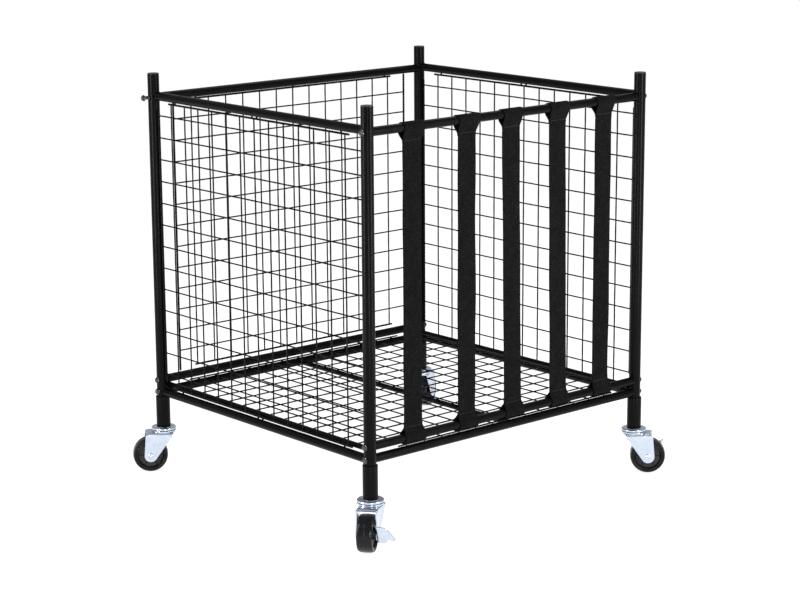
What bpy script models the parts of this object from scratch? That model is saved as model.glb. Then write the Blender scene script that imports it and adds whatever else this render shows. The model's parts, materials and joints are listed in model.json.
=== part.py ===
"""Rolling cage cart, in metres with +Z up.

A tube frame stands on four swivel casters, two of them braked. Welded wire mesh closes the
left, right and rear sides and the floor, and five elastic straps close the front, which
faces -Y. The origin is on the floor under the middle of the whole cart, casters and brake
levers included.
Run it with: blender --background --python part.py
"""

import math

import bmesh
import bpy
from mathutils import Matrix, Vector

MM = 0.001
GAP = 0.3 * MM

# The middle of the frame, seen from the middle of the whole cart.
FRAME_MIDDLE = (-4.5 * MM, 9.8 * MM, 0)

# Frame: posts at the corners of a rectangle, rails between them.
WIDTH = 590 * MM
DEPTH = 549 * MM
POST_RADIUS = 9.75 * MM
POST_BORE = 8.1 * MM
POST_BOTTOM = 100.3 * MM
POST_TOP = 686 * MM
POST_SIDES = 16
CAP_EDGE = 1.5 * MM
CAP_DEPTH = 8 * MM
LEG_RADIUS = 12 * MM
LEG_BOTTOM = 78.3 * MM
LEG_STEP = 100 * MM
LEG_TOP = 131.8 * MM
RAIL_RADIUS = 7.1 * MM
RAIL_BORE = 6 * MM
RAIL_SIDES = 12
CROSS_RAIL_HEIGHTS = {"top": 645.5 * MM, "low": 160.6 * MM, "base": 140.5 * MM}
SIDE_RAIL_HEIGHTS = {"top": 648 * MM, "base": 139.5 * MM}

# Bolts that pass through a post into the end of a cross rail.
BOLT_RADIUS = 3 * MM
BOLT_HOLE = 3.3 * MM
BOLT_LENGTH = 37 * MM
BOLT_HEAD_RADIUS = 5.2 * MM
BOLT_HEAD_HEIGHT = 2.9 * MM
BOLT_SOCKET_DEPTH = 32 * MM
LOOSE_BOLT = ("top", "rear_left")
LOOSE_BOLT_PROUD = 10 * MM

# Floor: a light tube inside each side and a brace under the middle.
FLOOR_TUBE_RADIUS = 4.3 * MM
FLOOR_TUBE_X = 285 * MM
FLOOR_TUBE_HEIGHT = 151.5 * MM
FLOOR_TUBE_LENGTH = 532 * MM
BRACE_RADIUS = 4.5 * MM
BRACE_HEIGHT = 142.3 * MM
BRACE_LENGTH = 534 * MM

# Wire mesh: thin wires in two layers, with thicker rods along the edges.
WIRE = 2.3 * MM
ROD = 3.6 * MM
LAYER = (WIRE + GAP) / 2
WELD = 3.2 * MM
WELD_DEPTH = 3 * MM
WIRES_EACH_WAY = 13
SIDE_UPRIGHT_PITCH = 37.35 * MM
SIDE_UPRIGHT_SPAN = (150.5 * MM, 637.5 * MM)
SIDE_CROSS_HEIGHTS = (172.5 * MM, 615.5 * MM)
SIDE_ROD_Y = 262 * MM
SIDE_ROD_SPAN = (169 * MM, 626 * MM)
SIDE_EDGE_HALF = 233 * MM
REAR_UPRIGHT_PITCH = 36.5 * MM
REAR_UPRIGHT_SPAN = (175 * MM, 636.2 * MM)
REAR_CROSS_HEIGHTS = (205 * MM, 605 * MM)
REAR_CROSS_COUNT = 12
REAR_ROD_X = 256.5 * MM
REAR_ROD_SPAN = (169.3 * MM, 638 * MM)
REAR_EDGE_HALF = 225 * MM
FLOOR_HEIGHT = 149.9 * MM
FLOOR_LONG_PITCH = 36.7 * MM
FLOOR_CROSS_PITCH = 37.1 * MM
FLOOR_EDGE_X = 274 * MM
FLOOR_EDGE_HALF_X = 238 * MM
FLOOR_EDGE_HALF_Y = 233 * MM

# Elastic straps: the X of each upper end, and how far the lower end is shifted along X.
STRAPS = ((-207 * MM, 0), (-94 * MM, 0), (0, 7 * MM), (103 * MM, 7 * MM), (209 * MM, 0))
STRAP_WIDTH = 37.5 * MM
STRAP_THICKNESS = 1.2 * MM
STRAP_LOOP_RADIUS = 7.5 * MM
STRAP_TOP_STITCH = 20.5 * MM
STRAP_LOW_STITCH = 16.5 * MM
STRAP_TAPER = 6 * MM
STRAP_ARC_STEPS = 10

# Casters, in their own frame: X towards the trailing wheel, Y along the axle to its left.
WHEEL_RADIUS = 30 * MM
TREAD_HALF = 12.5 * MM
HUB_HALF = 13.9 * MM
TRAIL = 24 * MM
WHEEL_SIDES = 20
AXLE_RADIUS = 3 * MM
AXLE_HOLE = 3.3 * MM
AXLE_HEAD_RADIUS = 4.75 * MM
AXLE_HEAD = 1.8 * MM
FORK_HALF = 17 * MM
FORK_SHEET = 2.3 * MM
FORK_TOP = 70 * MM
FORK_BACK = 32 * MM
FORK_FRONT = -14.5 * MM
FORK_EYE = 11 * MM
RACE_RADIUS = 19 * MM
RACE_TOP = 74.2 * MM
PLATE_RADIUS = 21.25 * MM
PLATE_TOP = 78 * MM
PLATE_UNDER = 76 * MM
PLATE_RIM_BOTTOM = 74.3 * MM
STEM_RADIUS = 5 * MM
STEM_HOLE = 5.3 * MM
STEM_TOP = 98 * MM
KINGPIN_RADIUS = 4 * MM
KINGPIN_HOLE = 4.35 * MM
KINGPIN_HEAD = 6.5 * MM
CASTER_TURNS = {"front_left": 217.8, "front_right": -44, "rear_left": 148, "rear_right": 27.5}

# Brake lever, measured from the axle: a cheek beside the fork and a wing for the foot.
BRAKED = ("front_left", "front_right")
BRAKE_SHEET = 1.5 * MM
BRAKE_HUB = 9 * MM
BRAKE_FOLD_LOW = Vector((9, -8)) * MM
BRAKE_FOLD_HIGH = Vector((26, 21)) * MM
WING_TOP = 33 * MM
WING_TIP = Vector((8.4, 48)) * MM
WING_HEEL = Vector((5, 44.5)) * MM
WING_NOTCH = Vector((7, 35)) * MM
WING_LOBE = Vector((-2, 31)) * MM

CORNERS = {
    "front_left": (-1, -1),
    "front_right": (1, -1),
    "rear_left": (-1, 1),
    "rear_right": (1, 1),
}
LEFT_TURN = (math.pi / 2, 0, math.pi / 2)
RIGHT_TURN = (math.pi / 2, 0, -math.pi / 2)
REAR_TURN = (math.pi / 2, 0, 0)
ALONG_X = (0, math.pi / 2, 0)
ALONG_Y = (math.pi / 2, 0, 0)
SIDE_RAIL_TURN = (math.pi / 2, math.pi / 2, 0)


def clear_scene():
    for obj in list(bpy.data.objects):
        bpy.data.objects.remove(obj)


def make_collection(name):
    collection = bpy.data.collections.new(name)
    bpy.context.scene.collection.children.link(collection)
    return collection


def make_material(name, color, metallic, roughness):
    material = bpy.data.materials.new(name)
    material.use_nodes = True
    shader = material.node_tree.nodes["Principled BSDF"]
    shader.inputs["Base Color"].default_value = (*color, 1)
    shader.inputs["Metallic"].default_value = metallic
    shader.inputs["Roughness"].default_value = roughness
    return material


def helper(name, data):
    """An unrendered object that only shapes other pieces."""
    obj = bpy.data.objects.new(name, data)
    obj.hide_render = True
    obj.display_type = "WIRE"
    CUTTERS.objects.link(obj)
    return obj


def baked(obj, name):
    """The closed mesh that obj's modifiers or curve settings leave, in obj's own space."""
    bpy.context.view_layer.update()
    graph = bpy.context.evaluated_depsgraph_get()
    mesh = bpy.data.meshes.new_from_object(obj.evaluated_get(graph))
    mesh.name = name
    shell = bmesh.new()
    shell.from_mesh(mesh)
    bmesh.ops.remove_doubles(shell, verts=shell.verts, dist=0.001 * MM)
    bmesh.ops.recalc_face_normals(shell, faces=shell.faces)
    shell.to_mesh(mesh)
    shell.free()
    mesh.shade_smooth()
    mesh.set_sharp_from_angle(angle=math.radians(40))
    return mesh


def turned(name, profile, sides, closed=False):
    """A helper turned about Z from (radius, height) points that run down its outer side."""
    points = [(radius, 0, height) for radius, height in profile]
    edges = [(i, i + 1) for i in range(len(points) - 1)]
    if closed:
        edges.append((len(points) - 1, 0))
    mesh = bpy.data.meshes.new(name)
    mesh.from_pydata(points, edges, [])
    obj = helper(name, mesh)
    screw = obj.modifiers.new("turn", "SCREW")
    screw.axis = "Z"
    screw.steps = sides
    screw.render_steps = sides
    screw.use_merge_vertices = True
    screw.merge_threshold = 0.00001
    return obj


def plate(name, outlines, thickness):
    """A helper plate in the XY plane. An outline inside another is a hole."""
    curve = bpy.data.curves.new(name, "CURVE")
    curve.dimensions = "2D"
    curve.fill_mode = "BOTH"
    curve.extrude = thickness / 2
    for outline in outlines:
        spline = curve.splines.new("POLY")
        spline.points.add(len(outline) - 1)
        for point, (x, y) in zip(spline.points, outline):
            point.co = (x, y, 0, 1)
        spline.use_cyclic_u = True
    flat = helper(name + "_outline", curve)
    obj = helper(name, baked(flat, name))
    bpy.data.objects.remove(flat)
    return obj


def cylinder(name, radius, length, sides, place=(0, 0, 0), turn=(0, 0, 0)):
    """A helper cylinder centred on place, along Z before its turn."""
    bpy.ops.mesh.primitive_cylinder_add(vertices=sides, radius=radius, depth=length)
    made = bpy.context.object
    obj = helper(name, made.data)
    bpy.data.objects.remove(made)
    obj.location = place
    obj.rotation_euler = turn
    return obj


def combine(obj, other, operation):
    boolean = obj.modifiers.new(operation.lower(), "BOOLEAN")
    boolean.operation = operation
    boolean.object = other
    boolean.solver = "EXACT"


def arc(radius, start, end, steps, center=(0, 0)):
    """Points on an arc, both ends included, with angles in degrees."""
    angles = [math.radians(start + (end - start) * i / steps) for i in range(steps + 1)]
    return [(center[0] + radius * math.cos(a), center[1] + radius * math.sin(a)) for a in angles]


def place(name, mesh, material, location, turn=(0, 0, 0), parent=None):
    """One named piece of the cart, in the frame's space or its parent's."""
    obj = bpy.data.objects.new(name, mesh)
    PARTS.objects.link(obj)
    if not mesh.materials:
        mesh.materials.append(material)
    obj.location = location
    obj.rotation_euler = turn
    obj.parent = parent or MIDDLE
    return obj


def post_mesh():
    """A tube closed by a flat cap, open below, with three bolt holes along X."""
    profile = [
        (0, POST_TOP),
        (POST_RADIUS - CAP_EDGE, POST_TOP),
        (POST_RADIUS, POST_TOP - CAP_EDGE),
        (POST_RADIUS, POST_BOTTOM),
        (POST_BORE, POST_BOTTOM),
        (POST_BORE, POST_TOP - CAP_DEPTH),
        (0, POST_TOP - CAP_DEPTH),
    ]
    post = turned("post", profile, POST_SIDES)
    for level, height in CROSS_RAIL_HEIGHTS.items():
        hole = cylinder("post_hole_" + level, BOLT_HOLE, 4 * POST_RADIUS, 8, (0, 0, height), ALONG_X)
        combine(post, hole, "DIFFERENCE")
    return baked(post, "post")


def leg_mesh():
    """The sleeve under a post: a wide bore for the post above a narrow one for the stem."""
    bore = POST_RADIUS + GAP
    profile = [
        (LEG_RADIUS, LEG_TOP),
        (LEG_RADIUS, LEG_BOTTOM),
        (STEM_HOLE, LEG_BOTTOM),
        (STEM_HOLE, LEG_STEP),
        (bore, LEG_STEP),
        (bore, LEG_TOP),
    ]
    return baked(turned("leg", profile, POST_SIDES, closed=True), "leg")


def rail_mesh(name, span, socket):
    """A tube along X whose ends are coped to the posts. A bolted rail has a narrow bore there."""
    half = span / 2
    profile = [(RAIL_RADIUS, half), (RAIL_RADIUS, -half)]
    if socket:
        inner = half - BOLT_SOCKET_DEPTH
        profile += [(BOLT_HOLE, -half), (BOLT_HOLE, -inner), (RAIL_BORE, -inner)]
        profile += [(RAIL_BORE, inner), (BOLT_HOLE, inner), (BOLT_HOLE, half)]
    else:
        profile += [(RAIL_BORE, -half), (RAIL_BORE, half)]
    rail = turned(name, profile, RAIL_SIDES, closed=True)
    for end in (-1, 1):
        spot = (0, 0, end * half)
        cope = cylinder(name + "_cope", POST_RADIUS + GAP, 4 * POST_RADIUS, 24, spot, ALONG_X)
        combine(rail, cope, "DIFFERENCE")
    return baked(rail, name)


def bolt_mesh():
    profile = [
        (0, BOLT_HEAD_HEIGHT),
        (BOLT_HEAD_RADIUS * 0.6, BOLT_HEAD_HEIGHT),
        (BOLT_HEAD_RADIUS, BOLT_HEAD_HEIGHT * 0.5),
        (BOLT_HEAD_RADIUS, 0),
        (BOLT_RADIUS, 0),
        (BOLT_RADIUS, -BOLT_LENGTH),
        (0, -BOLT_LENGTH),
    ]
    return baked(turned("bolt", profile, 10), "bolt")


def rod_mesh(name, radius, length):
    """A plain round bar along Z."""
    return baked(cylinder(name, radius, length, 10), name)


def bars(name, pieces):
    """A helper of separate square bars, each given as its size and its middle."""
    shell = bmesh.new()
    for size, middle in pieces:
        spot = Matrix.LocRotScale(Vector(middle), None, Vector(size))
        bmesh.ops.create_cube(shell, size=1, matrix=spot)
    mesh = bpy.data.meshes.new(name)
    shell.to_mesh(mesh)
    shell.free()
    return helper(name, mesh)


def panel_mesh(name, uprights, edge_y, edge_half, crosses, side_x, side_span):
    """Wires along Y in one layer and along X in the other, welded at the outer crossings.

    The uprights end in rods along X at the two values of edge_y. The crosses end in rods along Y
    at -side_x and side_x.
    """
    edge_length, edge_middle = edge_y[1] - edge_y[0], (edge_y[0] + edge_y[1]) / 2
    side_length, side_middle = side_span[1] - side_span[0], (side_span[0] + side_span[1]) / 2
    rods = [((2 * edge_half, ROD, ROD), (0, y, 0)) for y in edge_y]
    rods += [((ROD, side_length, ROD), (x, side_middle, 0)) for x in (-side_x, side_x)]
    panel = bars(name, rods)
    upright_size = (WIRE, edge_length - ROD / 2, WIRE)
    cross_size = (2 * side_x - ROD / 2, WIRE, WIRE)
    corners = [(x, y) for x in (uprights[0], uprights[-1]) for y in (crosses[0], crosses[-1])]
    layers = {
        "uprights": [(upright_size, (x, edge_middle, -LAYER)) for x in uprights],
        "crosses": [(cross_size, (0, y, LAYER)) for y in crosses],
        "welds": [((WELD, WELD, WELD_DEPTH), (x, y, 0)) for x, y in corners],
    }
    for layer, pieces in layers.items():
        combine(panel, bars(f"{name}_{layer}", pieces), "UNION")
    return baked(panel, name)


def spaced(pitch):
    """Evenly spaced wire places either side of the middle."""
    half = WIRES_EACH_WAY // 2
    return [pitch * (i - half) for i in range(WIRES_EACH_WAY)]


def between(ends, count):
    """Evenly spaced wire places from one end to the other."""
    return [ends[0] + (ends[1] - ends[0]) * i / (count - 1) for i in range(count)]


def strap_loop(radius, tip_x, tip_y):
    """Anticlockwise over a rail at the origin, from the line up from the tip to its mirror."""
    start = math.degrees(math.atan2(tip_y, tip_x) + math.acos(radius / math.hypot(tip_x, tip_y)))
    return arc(radius, start, 180 - start, STRAP_ARC_STEPS)


def strap_mesh():
    """A strap seen edge on, in XY, with a sewn loop round the top rail and the low rail."""
    drop = CROSS_RAIL_HEIGHTS["top"] - CROSS_RAIL_HEIGHTS["low"]
    web = STRAP_THICKNESS / 2
    outer = STRAP_LOOP_RADIUS + STRAP_THICKNESS
    top_tip = -STRAP_TOP_STITCH
    low_tip = STRAP_LOW_STITCH - drop
    top = strap_loop(outer, STRAP_THICKNESS, top_tip)
    low = [(-x, -y - drop) for x, y in strap_loop(outer, STRAP_THICKNESS, -STRAP_LOW_STITCH)]
    outline = [(STRAP_THICKNESS, top_tip)] + top + [(-STRAP_THICKNESS, top_tip)]
    outline += [(-web, top_tip - STRAP_TAPER), (-web, low_tip + STRAP_TAPER)]
    outline += [(-STRAP_THICKNESS, low_tip)] + low + [(STRAP_THICKNESS, low_tip)]
    outline += [(web, low_tip + STRAP_TAPER), (web, top_tip - STRAP_TAPER)]
    tip = STRAP_THICKNESS
    top_hole = [(0, top_tip + tip)] + strap_loop(STRAP_LOOP_RADIUS, tip / 8, top_tip + tip)
    low_hole = [(0, STRAP_LOW_STITCH - tip)]
    low_hole += [(-x, -y) for x, y in strap_loop(STRAP_LOOP_RADIUS, tip / 8, tip - STRAP_LOW_STITCH)]
    low_hole = [(x, y - drop) for x, y in low_hole]
    return baked(plate("strap", [outline, top_hole, low_hole], STRAP_WIDTH), "strap")


def caster_plate_mesh():
    """Threaded stem, pressed top plate with a turned-down rim, and the kingpin below it."""
    under_crown = FORK_TOP - FORK_SHEET - GAP
    profile = [
        (0, STEM_TOP),
        (STEM_RADIUS, STEM_TOP),
        (STEM_RADIUS, PLATE_TOP),
        (PLATE_RADIUS - 1.2 * MM, PLATE_TOP),
        (PLATE_RADIUS, PLATE_TOP - 1.2 * MM),
        (PLATE_RADIUS, PLATE_RIM_BOTTOM),
        (PLATE_RADIUS - 1.1 * MM, PLATE_RIM_BOTTOM),
        (PLATE_RADIUS - 1.1 * MM, PLATE_UNDER),
        (KINGPIN_RADIUS, PLATE_UNDER),
        (KINGPIN_RADIUS, under_crown),
        (KINGPIN_HEAD, under_crown),
        (KINGPIN_HEAD - 1 * MM, under_crown - 2 * MM),
        (0, under_crown - 2 * MM),
    ]
    return baked(turned("caster_plate", profile, 16), "caster_plate")


def fork_mesh():
    """A sheet bent into a U over the wheel, with the lower ball race on its crown."""
    inner = FORK_HALF - FORK_SHEET
    crown = FORK_TOP - FORK_SHEET
    channel = [(-FORK_HALF, 0), (-inner, 0), (-inner, crown), (inner, crown)]
    channel += [(inner, 0), (FORK_HALF, 0), (FORK_HALF, FORK_TOP), (-FORK_HALF, FORK_TOP)]
    fork = plate("fork", [channel], 5 * WHEEL_RADIUS)
    fork.rotation_euler = LEFT_TURN
    side = [(FORK_BACK, FORK_TOP + 1 * MM), (FORK_FRONT, FORK_TOP + 1 * MM)]
    side += [(FORK_FRONT, FORK_TOP - 4 * MM)]
    side += arc(FORK_EYE, 214, 368, 10, (TRAIL, WHEEL_RADIUS))
    shape = plate("fork_side", [side], 3 * FORK_HALF)
    shape.rotation_euler = ALONG_Y
    combine(fork, shape, "INTERSECT")
    race_height = RACE_TOP - crown - FORK_SHEET / 2
    race = cylinder("race", RACE_RADIUS, race_height, 20, (0, 0, RACE_TOP - race_height / 2))
    combine(fork, race, "UNION")
    pin_hole = cylinder("pin_hole", KINGPIN_HOLE, WHEEL_RADIUS, 20, (0, 0, FORK_TOP))
    combine(fork, pin_hole, "DIFFERENCE")
    axle_place = (TRAIL, 0, WHEEL_RADIUS)
    axle_hole = cylinder("axle_hole", AXLE_HOLE, 3 * FORK_HALF, 12, axle_place, ALONG_Y)
    combine(fork, axle_hole, "DIFFERENCE")
    return world_mesh(fork, "caster_fork")


def world_mesh(obj, name):
    """The baked mesh of a turned helper, moved out of its own space into its parent's."""
    mesh = baked(obj, name)
    mesh.transform(obj.matrix_world)
    return mesh


def wheel_mesh():
    """A wheel turned about its axle: rounded tread, dished sides and a wider hub."""
    half = [
        (WHEEL_RADIUS, TREAD_HALF - 4 * MM),
        (WHEEL_RADIUS - 2.5 * MM, TREAD_HALF),
        (WHEEL_RADIUS - 6 * MM, TREAD_HALF),
        (WHEEL_RADIUS - 8 * MM, TREAD_HALF - 5 * MM),
        (9 * MM, TREAD_HALF - 5 * MM),
        (8 * MM, HUB_HALF),
        (AXLE_HOLE, HUB_HALF),
    ]
    profile = half[::-1] + [(radius, -height) for radius, height in half]
    return baked(turned("wheel", profile, WHEEL_SIDES, closed=True), "caster_wheel")


def axle_mesh(name, left_end):
    """A riveted axle whose left head may stand further out, beyond a brake lever."""
    left, right = left_end + GAP, -FORK_HALF - GAP
    profile = [
        (0, left + AXLE_HEAD),
        (AXLE_HEAD_RADIUS * 0.7, left + AXLE_HEAD),
        (AXLE_HEAD_RADIUS, left),
        (AXLE_RADIUS, left),
        (AXLE_RADIUS, right),
        (AXLE_HEAD_RADIUS, right),
        (AXLE_HEAD_RADIUS * 0.7, right - AXLE_HEAD),
        (0, right - AXLE_HEAD),
    ]
    return baked(turned(name, profile, 12), name)


def brake_mesh():
    """A cheek that turns on the axle, in XZ, folded out along a slanted line into a wing."""
    cheek = arc(BRAKE_HUB, 113, 300, 10) + [tuple(BRAKE_FOLD_LOW), tuple(BRAKE_FOLD_HIGH)]
    lever = plate("brake", [cheek, arc(AXLE_HOLE, 0, 330, 11)], BRAKE_SHEET)
    inner = FORK_HALF + GAP
    lever.matrix_world = Matrix.Translation((0, inner + BRAKE_SHEET / 2, 0)) @ Matrix.Rotation(
        math.pi / 2, 4, "X"
    )
    fold = BRAKE_FOLD_HIGH - BRAKE_FOLD_LOW
    root = inner + BRAKE_SHEET / 4
    outline = [(0, root), (fold.length, root), (fold.length, WING_TOP)]
    outline += [tuple(point) for point in (WING_TIP, WING_HEEL, WING_NOTCH, WING_LOBE)]
    wing = plate("wing", [outline], BRAKE_SHEET)
    along = fold.normalized()
    wing.matrix_world = Matrix(
        (
            (along.x, 0, -along.y, BRAKE_FOLD_LOW.x),
            (0, 1, 0, 0),
            (along.y, 0, along.x, BRAKE_FOLD_LOW.y),
            (0, 0, 0, 1),
        )
    )
    combine(lever, wing, "UNION")
    return world_mesh(lever, "brake_lever")


def add_frame(black):
    post, leg = post_mesh(), leg_mesh()
    for corner, (side, end) in CORNERS.items():
        foot = (side * WIDTH / 2, end * DEPTH / 2, 0)
        place("post_" + corner, post, black, foot)
        place("leg_" + corner, leg, black, foot)
    cross_rail = rail_mesh("cross_rail", WIDTH, socket=True)
    side_rail = rail_mesh("side_rail", DEPTH, socket=False)
    for level, height in CROSS_RAIL_HEIGHTS.items():
        for name, end in (("front", -1), ("rear", 1)):
            place(f"rail_{level}_{name}", cross_rail, black, (0, end * DEPTH / 2, height), ALONG_X)
    for level, height in SIDE_RAIL_HEIGHTS.items():
        for name, side in (("left", -1), ("right", 1)):
            spot = (side * WIDTH / 2, 0, height)
            place(f"rail_{level}_{name}", side_rail, black, spot, SIDE_RAIL_TURN)
    tube = rod_mesh("tube", FLOOR_TUBE_RADIUS, FLOOR_TUBE_LENGTH)
    for name, side in (("left", -1), ("right", 1)):
        place("floor_tube_" + name, tube, black, (side * FLOOR_TUBE_X, 0, FLOOR_TUBE_HEIGHT), ALONG_Y)
    brace = rod_mesh("brace", BRACE_RADIUS, BRACE_LENGTH)
    place("floor_brace", brace, black, (0, 0, BRACE_HEIGHT), ALONG_Y)


def add_bolts(black_steel):
    bolt = bolt_mesh()
    for corner, (side, end) in CORNERS.items():
        for level, height in CROSS_RAIL_HEIGHTS.items():
            proud = LOOSE_BOLT_PROUD if (level, corner) == LOOSE_BOLT else 0
            reach = WIDTH / 2 + POST_RADIUS + GAP + proud
            spot = (side * reach, end * DEPTH / 2, height)
            place(f"bolt_{level}_{corner}", bolt, black_steel, spot, (0, side * math.pi / 2, 0))


def add_mesh_panels(black):
    crosses = between(SIDE_CROSS_HEIGHTS, WIRES_EACH_WAY)
    side = panel_mesh(
        "side_mesh",
        spaced(SIDE_UPRIGHT_PITCH),
        SIDE_UPRIGHT_SPAN,
        SIDE_EDGE_HALF,
        crosses,
        SIDE_ROD_Y,
        SIDE_ROD_SPAN,
    )
    place("mesh_left", side, black, (-WIDTH / 2, 0, 0), LEFT_TURN)
    place("mesh_right", side, black, (WIDTH / 2, 0, 0), RIGHT_TURN)
    rear = panel_mesh(
        "rear_mesh",
        spaced(REAR_UPRIGHT_PITCH),
        REAR_UPRIGHT_SPAN,
        REAR_EDGE_HALF,
        between(REAR_CROSS_HEIGHTS, REAR_CROSS_COUNT),
        REAR_ROD_X,
        REAR_ROD_SPAN,
    )
    place("mesh_rear", rear, black, (0, DEPTH / 2, 0), REAR_TURN)
    floor = panel_mesh(
        "floor_mesh",
        spaced(FLOOR_LONG_PITCH),
        (-DEPTH / 2, DEPTH / 2),
        FLOOR_EDGE_HALF_X,
        spaced(FLOOR_CROSS_PITCH),
        FLOOR_EDGE_X,
        (-FLOOR_EDGE_HALF_Y, FLOOR_EDGE_HALF_Y),
    )
    place("mesh_floor", floor, black, (0, 0, FLOOR_HEIGHT))


def add_straps(webbing):
    strap = strap_mesh()
    drop = CROSS_RAIL_HEIGHTS["top"] - CROSS_RAIL_HEIGHTS["low"]
    for number, (x, shift) in enumerate(STRAPS, 1):
        spot = (x, -DEPTH / 2, CROSS_RAIL_HEIGHTS["top"])
        obj = place(f"strap_{number}", strap, webbing, spot)
        lean = Matrix.Rotation(-math.asin(shift / drop), 3, "Y")
        upright = Matrix.Rotation(math.pi / 2, 3, "Z") @ Matrix.Rotation(math.pi / 2, 3, "X")
        obj.rotation_euler = (lean @ upright).to_euler()


def add_empty(name, location, turn=(0, 0, 0), parent=None):
    """A spot that pieces are placed from."""
    obj = bpy.data.objects.new(name, None)
    obj.empty_display_size = WHEEL_RADIUS
    PARTS.objects.link(obj)
    obj.location = location
    obj.rotation_euler = turn
    obj.parent = parent
    return obj


def add_casters(zinc, tread):
    meshes = {"plate": caster_plate_mesh(), "fork": fork_mesh(), "wheel": wheel_mesh()}
    axles = {
        False: axle_mesh("axle", FORK_HALF),
        True: axle_mesh("brake_axle", FORK_HALF + GAP + BRAKE_SHEET),
    }
    lever = brake_mesh()
    for corner, (side, end) in CORNERS.items():
        foot = (side * WIDTH / 2, end * DEPTH / 2, 0)
        turn = (0, 0, math.radians(CASTER_TURNS[corner]))
        swivel = add_empty("swivel_" + corner, foot, turn, MIDDLE)
        axle_spot = add_empty("axle_" + corner, (TRAIL, 0, WHEEL_RADIUS), (0, 0, 0), swivel)
        place("caster_plate_" + corner, meshes["plate"], zinc, foot)
        place("caster_fork_" + corner, meshes["fork"], zinc, (0, 0, 0), parent=swivel)
        along_axle = (-math.pi / 2, 0, 0)
        place("caster_wheel_" + corner, meshes["wheel"], tread, (0, 0, 0), along_axle, axle_spot)
        axle = axles[corner in BRAKED]
        place("caster_axle_" + corner, axle, zinc, (0, 0, 0), along_axle, axle_spot)
        if corner in BRAKED:
            place("brake_lever_" + corner, lever, zinc, (0, 0, 0), parent=axle_spot)


clear_scene()
PARTS = make_collection("roll_cage_cart")
CUTTERS = make_collection("cutters")

MIDDLE = add_empty("frame_middle", FRAME_MIDDLE)
BLACK = make_material("black_powder_coat", (0.012, 0.012, 0.013), 0, 0.38)
BLACK_STEEL = make_material("black_steel", (0.03, 0.03, 0.032), 1, 0.3)
ZINC = make_material("zinc_plate", (0.62, 0.65, 0.7), 1, 0.32)
TREAD = make_material("wheel_plastic", (0.02, 0.02, 0.021), 0, 0.35)
WEBBING = make_material("elastic_webbing", (0.015, 0.015, 0.016), 0, 0.85)

add_frame(BLACK)
add_mesh_panels(BLACK)
add_straps(WEBBING)
add_bolts(BLACK_STEEL)
add_casters(ZINC, TREAD)
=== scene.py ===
"""Looks of the rolling cage cart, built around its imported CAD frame.

Every visible piece is made here in metres, in the frame's space. Its place comes from the CAD
node that it stands for, and it rides on that node's body.
"""

import json
import math
import random

import bmesh
import bpy
from mathutils import Matrix, Vector


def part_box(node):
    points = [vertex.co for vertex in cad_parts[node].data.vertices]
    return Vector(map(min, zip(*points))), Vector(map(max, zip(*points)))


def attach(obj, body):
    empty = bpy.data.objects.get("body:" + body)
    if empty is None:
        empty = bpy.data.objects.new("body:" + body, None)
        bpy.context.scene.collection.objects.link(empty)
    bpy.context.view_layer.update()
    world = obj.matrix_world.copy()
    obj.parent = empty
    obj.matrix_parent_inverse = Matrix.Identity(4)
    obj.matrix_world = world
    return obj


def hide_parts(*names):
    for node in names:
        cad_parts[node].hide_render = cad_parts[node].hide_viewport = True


MM = 0.001
CORNERS = ("front_left", "front_right", "rear_left", "rear_right")
BRAKED = ("front_left", "front_right")

# Camera, from the middle of the frame on the floor.
CAMERA_SPOT = Vector((-2.4025, -2.7701, 1.1281))
CAMERA_YAW = math.radians(48.99)
CAMERA_PITCH = math.radians(12.727)
CAMERA_ROLL = math.radians(-0.35)
CAMERA_LENS = 100.0

# The height over the same middle that the lights face.
LIGHT_TARGET = 0.35

# Tubes and bolts.
TUBE_WALL = 1.5 * MM
CAP_FLANGE = 2.2 * MM
CAP_PLUG = 5 * MM
RAIL_OVERLAP = 2.5 * MM
WELD_RADIUS = 1.5 * MM
BOLT_FLANGE = 0.8 * MM
BOLT_HEX = 4.5 * MM
BOLT_HEAD = 2.9 * MM
THREAD_PITCH = 1 * MM

# Wire mesh.
WIRE_RADIUS = 1.2 * MM
ROD_RADIUS = 1.8 * MM
WIRE_LAYER = 1.05 * MM
WIRE_BOW = 0.5 * MM
WIRE_JITTER = 0.12 * MM
SIDE_UPRIGHTS = 13
SIDE_UPRIGHT_PITCH = 37.35 * MM
SIDE_CROSS_SPAN = (172.5 * MM, 615.5 * MM)
SIDE_ROD_SPAN = (169 * MM, 626 * MM)
SIDE_EDGE_HALF = 233 * MM
REAR_UPRIGHT_PITCH = 36.5 * MM
REAR_CROSS_SPAN = (205 * MM, 605 * MM)
REAR_CROSSES = 12
REAR_EDGE_HALF = 225 * MM
REAR_EDGE_SPAN = (175 * MM, 636.2 * MM)
FLOOR_LONG_PITCH = 36.7 * MM
FLOOR_CROSS_PITCH = 37.1 * MM
FLOOR_EDGE_HALF_X = 238 * MM
FLOOR_EDGE_HALF_Y = 233 * MM
FLOOR_ROD_RADIUS = 1.4 * MM

# Straps.
STRAP_COUNT = 5
STRAP_THICKNESS = 1.2 * MM
STRAP_HALF = 18.75 * MM
STRAP_LOOP = 8.1 * MM
STRAP_TOP_STITCH = 20.5 * MM
STRAP_LOW_STITCH = 16.5 * MM
STRAP_TAIL = 4 * MM
STRAP_EASE = 9 * MM
STRAP_COLUMNS = 12
STITCH_PITCH = 2.7 * MM
STITCH_RADIUS = 0.32 * MM
STITCH_STAND = 1.0944 * STRAP_THICKNESS
STRAP_FADE = 40 * MM

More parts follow.
